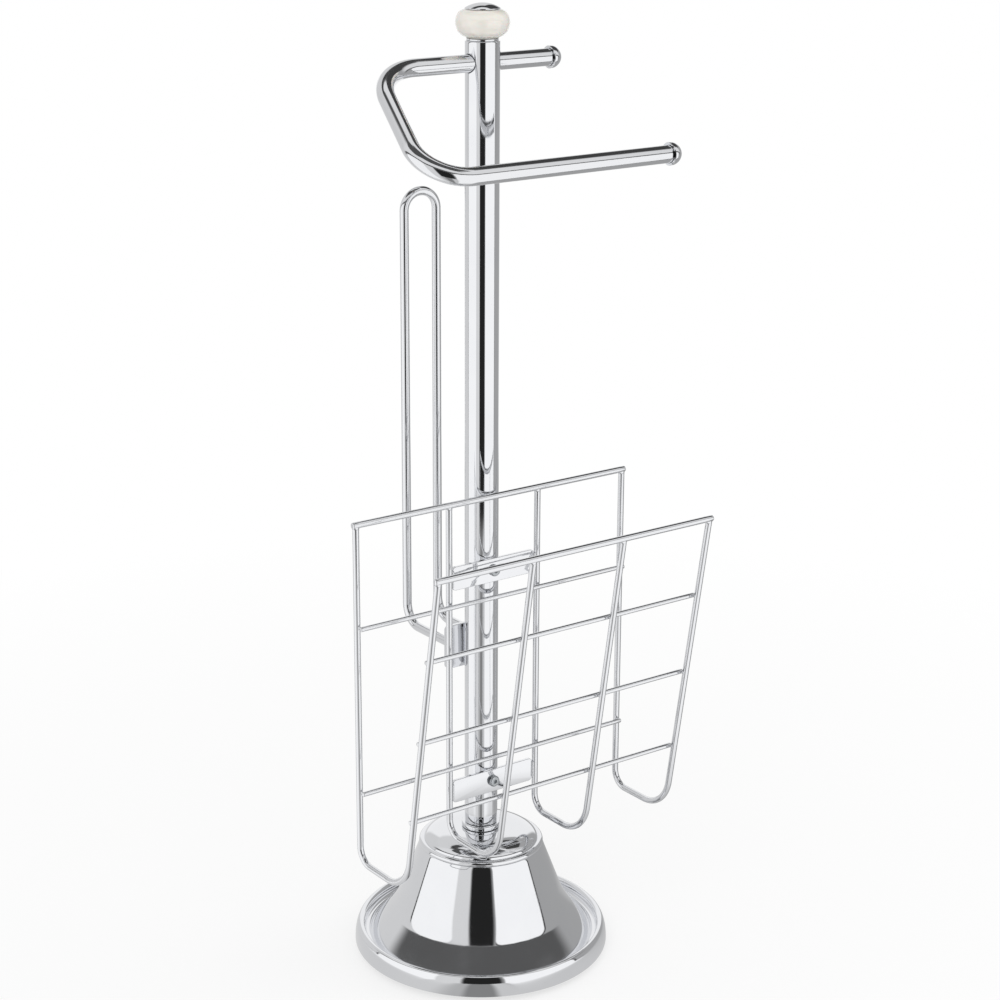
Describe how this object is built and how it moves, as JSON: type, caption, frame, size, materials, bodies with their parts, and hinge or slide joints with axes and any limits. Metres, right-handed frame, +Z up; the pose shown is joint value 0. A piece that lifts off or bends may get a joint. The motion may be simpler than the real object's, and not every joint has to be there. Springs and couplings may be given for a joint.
{
  "type": "toilet roll holder",
  "caption": "Free-standing chrome toilet roll holder with a weighted bell base, bent roll arm, spare roll loop, wire magazine rack and ceramic clamp knob.",
  "frame": {"origin": "centre of the foam pad's underside, on the floor", "axes": "+Z up along the pole; -Y towards the magazine rack's open front; the spare roll loop stands at +Y; the roll arm bends round on the -X side"},
  "size_m": [0.2154, 0.1908, 0.6337],
  "materials": {
    "chrome": "mirror-polished chrome plate",
    "ceramic": "warm white gloss glaze",
    "cast_iron": "black painted, as cast",
    "zinc_steel": "zinc plated",
    "foam_rubber": "matt black closed-cell foam",
    "nylon": "natural moulded nylon"
  },
  "bodies": {
    "stand": {"base_ballast": "cast_iron", "base_pad": "foam_rubber", "base_shell": "chrome", "loop_bracket": "chrome", "loop_screw_1": "zinc_steel", "loop_screw_1_insert": "zinc_steel", "loop_screw_2": "zinc_steel", "loop_screw_2_insert": "zinc_steel", "pole_foot_plug": "chrome", "pole_top_plug": "chrome", "pole_tube": "chrome", "rack_back_bar_1": "chrome", "rack_back_bar_2": "chrome", "rack_back_rail": "chrome", "rack_bracket_lower": "chrome", "rack_bracket_upper": "chrome", "rack_front_bar_1": "chrome", "rack_front_bar_2": "chrome", "rack_front_bar_3": "chrome", "rack_front_rail": "chrome", "rack_screw_lower": "zinc_steel", "rack_screw_lower_insert": "zinc_steel", "rack_screw_upper": "zinc_steel", "rack_screw_upper_insert": "zinc_steel", "rack_wire_1": "chrome", "rack_wire_2": "chrome", "rack_wire_3": "chrome", "rack_wire_4": "chrome", "spare_roll_loop": "chrome", "tie_bolt": "zinc_steel", "tie_washer": "zinc_steel"},
    "arm": {"roll_arm": "chrome", "arm_stub_cap": "chrome", "arm_free_end_cap": "chrome"},
    "knob": {"knob_body": "ceramic", "knob_cap": "chrome", "knob_stud": "zinc_steel", "knob_washer": "nylon"}
  },
  "joints": [
    {"name": "arm_swing", "type": "hinge", "parent": "stand", "child": "arm", "pos_m": [0, 0, 0.5977], "axis": [1, 0, 0], "range_deg": [-255, 50]},
    {"name": "knob_turn", "type": "hinge", "parent": "stand", "child": "knob", "pos_m": [0, 0, 0.614], "axis": [0, 0, 1], "range_deg": [0, 360]}
  ]
}
